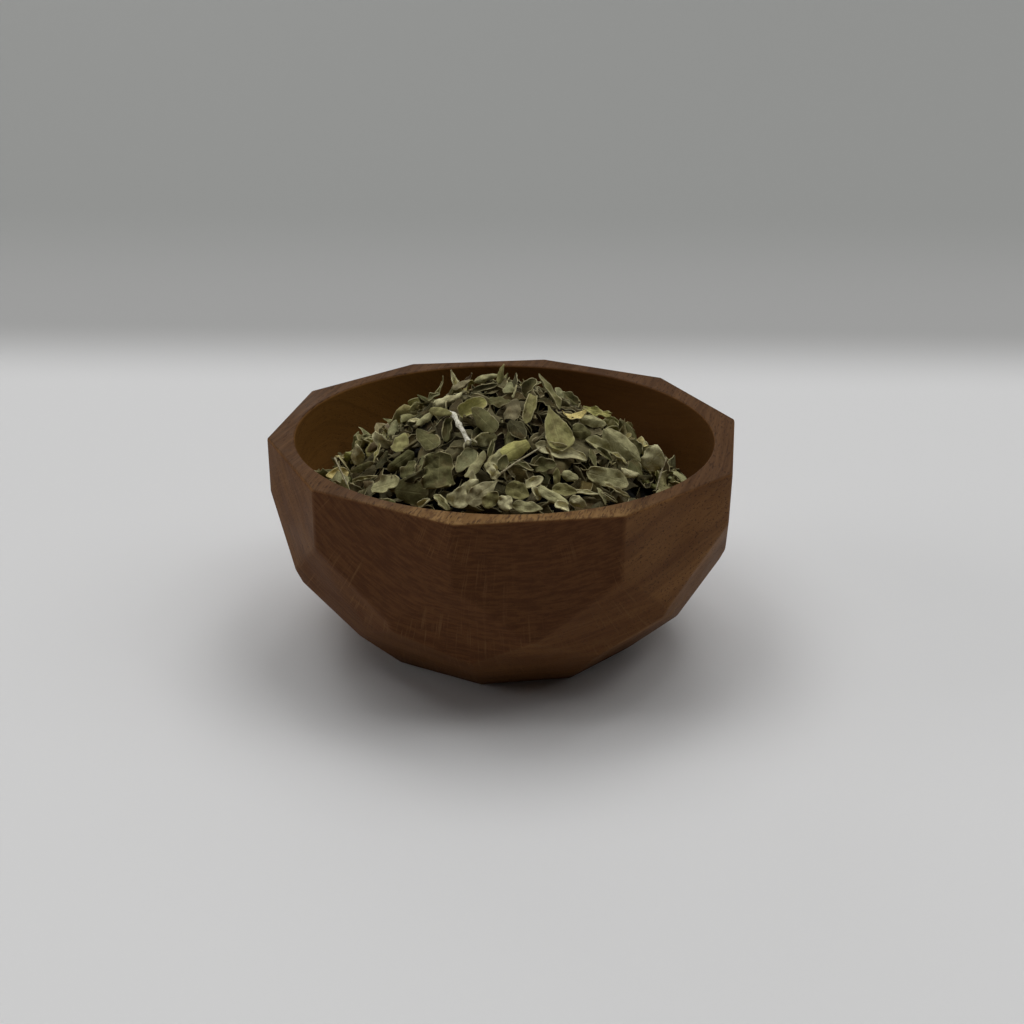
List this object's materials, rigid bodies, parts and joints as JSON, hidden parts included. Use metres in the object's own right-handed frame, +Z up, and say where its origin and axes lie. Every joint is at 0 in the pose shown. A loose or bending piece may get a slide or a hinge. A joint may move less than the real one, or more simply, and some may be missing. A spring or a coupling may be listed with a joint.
{
  "type": "faceted wooden bowl of dried thyme leaves",
  "caption": "Small round wooden bowl with a hand-faceted outside and a flat rim, heaped above the rim with dried, cupped oval thyme leaves, a woolly twig and loose stems.",
  "frame": {"origin": "centre of the bowl's flat base, on the surface that it stands on", "axes": "+Z up through the centre of the bowl; the pictured front of the bowl faces -Y, with +X to its right"},
  "size_m": [0.1287, 0.1281, 0.0779],
  "materials": {
    "bowl_wood": "warm dark brown hardwood, oiled satin, with fine pores, crossed fibre and saw lines, and edges worn a little paler",
    "dried_leaf": "matt, grey-green to olive dried leaves with paler edges and undersides",
    "pale_leaf": "matt, paler olive green with faint veins",
    "yellow_leaf": "matt, straw yellow",
    "woolly_bark": "whitish felt of short hairs over thin bark",
    "dry_stem": "thin dry straw-coloured stem"
  },
  "bodies": {
    "root": {"bowl": "bowl_wood", "leaf_heap": "dried_leaf", "large_leaf": "pale_leaf", "yellow_leaf": "yellow_leaf", "woolly_twig": "woolly_bark", "long_stem": "dry_stem", "left_stem": "dry_stem", "right_stem": "dry_stem"}
  },
  "joints": []
}
